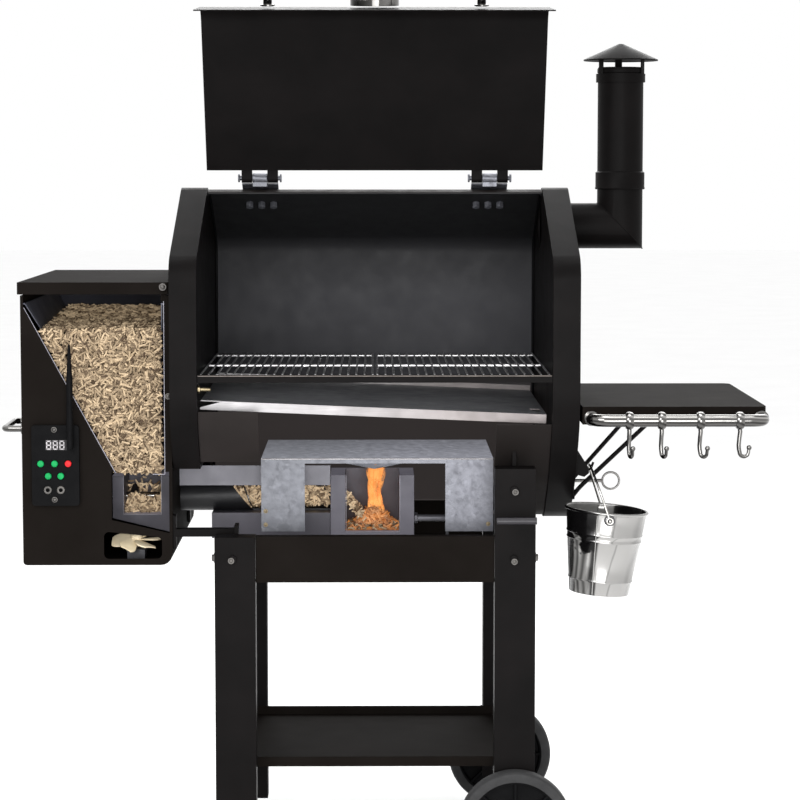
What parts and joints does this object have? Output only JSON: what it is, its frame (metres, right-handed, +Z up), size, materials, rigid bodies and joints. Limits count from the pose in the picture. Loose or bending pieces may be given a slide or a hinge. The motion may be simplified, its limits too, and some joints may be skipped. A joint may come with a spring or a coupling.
{
  "type": "pellet smoker grill",
  "caption": "Display cutaway of a wood pellet smoker grill: barrel with open lid, pellet hopper, auger feed, burn cup, baffle, drip tray, grates, side shelf and grease bucket.",
  "frame": {"origin": "bottom centre of the bounding box, on the ground", "axes": "+X toward the side shelf, +Y toward the back, +Z up"},
  "size_m": [1.208, 0.6, 1.4303],
  "materials": {
    "black": "satin black high-temperature paint",
    "black_panel": "satin black powder coat",
    "dark_steel": "dark oiled sheet steel",
    "cut_steel": "grey painted steel with cut edges",
    "galvanised": "galvanised sheet",
    "bright_steel": "bright brushed steel",
    "stainless": "polished stainless steel",
    "chrome": "polished",
    "brass": "plain",
    "pellets": "loose wood pellets",
    "embers": "burning pellets",
    "green": "gloss",
    "red": "gloss",
    "plastic": "matte",
    "rotor": "pale moulded plastic",
    "tyre": "matte"
  },
  "bodies": {
    "grill": {"end_cap_left": "black", "end_cap_right": "black", "barrel_shell": "dark_steel", "front_skin_left": "black", "front_rail": "bright_steel", "temperature_probe": "brass", "lid_hinge_left": "galvanised", "lid_hinge_right": "galvanised", "chimney_elbow": "black", "chimney_stack": "black", "chimney_cap": "black", "hopper_case": "black_panel", "hopper_funnel": "dark_steel", "pellet_load": "pellets", "side_handle": "chrome", "feed_box": "cut_steel", "auger_tube": "cut_steel", "auger_motor": "dark_steel", "fan_motor": "dark_steel", "burn_cup": "cut_steel", "ember_bed": "embers", "igniter_rod": "dark_steel", "heat_baffle": "galvanised", "flame_deflector": "dark_steel", "ash_cup": "dark_steel", "drip_tray": "bright_steel", "grate_left": "stainless", "grate_right": "stainless", "controller_panel": "plastic", "side_shelf": "black_panel", "shelf_rail": "chrome", "shelf_brace_front": "black", "shelf_brace_rear": "black", "grease_spout": "black", "leg_frame_left": "black", "leg_frame_right": "black", "apron_front": "black_panel", "apron_rear": "black_panel", "bottom_shelf": "black_panel"},
    "lid": {"lid_shell": "black", "lid_handle": "stainless", "lid_thermometer": "stainless"},
    "hopper_lid": {"hopper_lid": "black_panel"},
    "auger": {"auger_screw": "stainless"},
    "fan": {"fan_rotor": "rotor"},
    "ash_gate": {"ash_gate_rod": "galvanised"},
    "start_button": {"button_start": "green"},
    "feed_button": {"button_feed": "green"},
    "stop_button": {"button_stop": "red"},
    "probe_left_button": {"button_probe_left": "green"},
    "probe_right_button": {"button_probe_right": "green"},
    "antenna": {"antenna": "plastic"},
    "hook_1": {"rail_hook_1": "chrome"},
    "hook_2": {"rail_hook_2": "chrome"},
    "hook_3": {"rail_hook_3": "chrome"},
    "hook_4": {"rail_hook_4": "chrome"},
    "bail": {"bucket_bail": "stainless"},
    "bucket": {"grease_bucket": "stainless"},
    "front_wheel": {"wheel_front": "tyre"},
    "rear_wheel": {"wheel_rear": "tyre"}
  },
  "joints": [
    {"name": "lid_hinge", "type": "hinge", "parent": "grill", "child": "lid", "pos_m": [-0.011, 0.0381, 1.107], "axis": [1, 0, 0], "range_deg": [0, 85]},
    {"name": "hopper_lid_hinge", "type": "hinge", "parent": "grill", "child": "hopper_lid", "pos_m": [-0.344, 0.0511, 0.938], "axis": [0, 1, 0], "range_deg": [0, 88]},
    {"name": "auger_spin", "type": "hinge", "parent": "grill", "child": "auger", "pos_m": [-0.271, 0.0011, 0.583], "axis": [1, 0, 0], "continuous": true},
    {"name": "fan_spin", "type": "hinge", "parent": "grill", "child": "fan", "pos_m": [-0.394, -0.1369, 0.53], "axis": [0, -0.2588, 0.9659], "continuous": true},
    {"name": "ash_gate_slide", "type": "slide", "parent": "grill", "child": "ash_gate", "axis": [1, 0, 0], "range_m": [0, 0.07]},
    {"name": "start_button_press", "type": "slide", "parent": "grill", "child": "start_button", "axis": [0, 1, 0], "range_m": [0, 0.002], "stiffness_N_per_m": 400, "springref_m": -0.0005},
    {"name": "feed_button_press", "type": "slide", "parent": "grill", "child": "feed_button", "axis": [0, 1, 0], "range_m": [0, 0.002], "stiffness_N_per_m": 400, "springref_m": -0.0005},
    {"name": "stop_button_press", "type": "slide", "parent": "grill", "child": "stop_button", "axis": [0, 1, 0], "range_m": [0, 0.002], "stiffness_N_per_m": 400, "springref_m": -0.0005},
    {"name": "probe_left_button_press", "type": "slide", "parent": "grill", "child": "probe_left_button", "axis": [0, 1, 0], "range_m": [0, 0.002], "stiffness_N_per_m": 400, "springref_m": -0.0005},
    {"name": "probe_right_button_press", "type": "slide", "parent": "grill", "child": "probe_right_button", "axis": [0, 1, 0], "range_m": [0, 0.002], "stiffness_N_per_m": 400, "springref_m": -0.0005},
    {"name": "antenna_tilt", "type": "hinge", "parent": "grill", "child": "antenna", "pos_m": [-0.491, -0.2049, 0.688], "axis": [0, 1, 0], "range_deg": [-50, 50]},
    {"name": "hook_1_swing", "type": "hinge", "parent": "grill", "child": "hook_1", "pos_m": [0.382, -0.2849, 0.735], "axis": [1, 0, 0], "range_deg": [-55, 55]},
    {"name": "hook_2_swing", "type": "hinge", "parent": "grill", "child": "hook_2", "pos_m": [0.432, -0.2849, 0.735], "axis": [1, 0, 0], "range_deg": [-55, 55]},
    {"name": "hook_3_swing", "type": "hinge", "parent": "grill", "child": "hook_3", "pos_m": [0.492, -0.2849, 0.735], "axis": [1, 0, 0], "range_deg": [-55, 55]},
    {"name": "hook_4_swing", "type": "hinge", "parent": "grill", "child": "hook_4", "pos_m": [0.553, -0.2849, 0.735], "axis": [1, 0, 0], "range_deg": [-55, 55]},
    {"name": "bail_swing", "type": "hinge", "parent": "grill", "child": "bail", "pos_m": [0.333, -0.1389, 0.65], "axis": [0, 1, 0], "range_deg": [-30, 0.5]},
    {"name": "bucket_swing", "type": "hinge", "parent": "bail", "child": "bucket", "pos_m": [0.36, -0.1389, 0.568], "axis": [0, 1, 0], "range_deg": [-25, 1]},
    {"name": "front_wheel_spin", "type": "hinge", "parent": "grill", "child": "front_wheel", "pos_m": [0.209, -0.2579, 0.09], "axis": [0, 1, 0], "continuous": true},
    {"name": "rear_wheel_spin", "type": "hinge", "parent": "grill", "child": "rear_wheel", "pos_m": [0.209, 0.2511, 0.09], "axis": [0, 1, 0], "continuous": true}
  ]
}
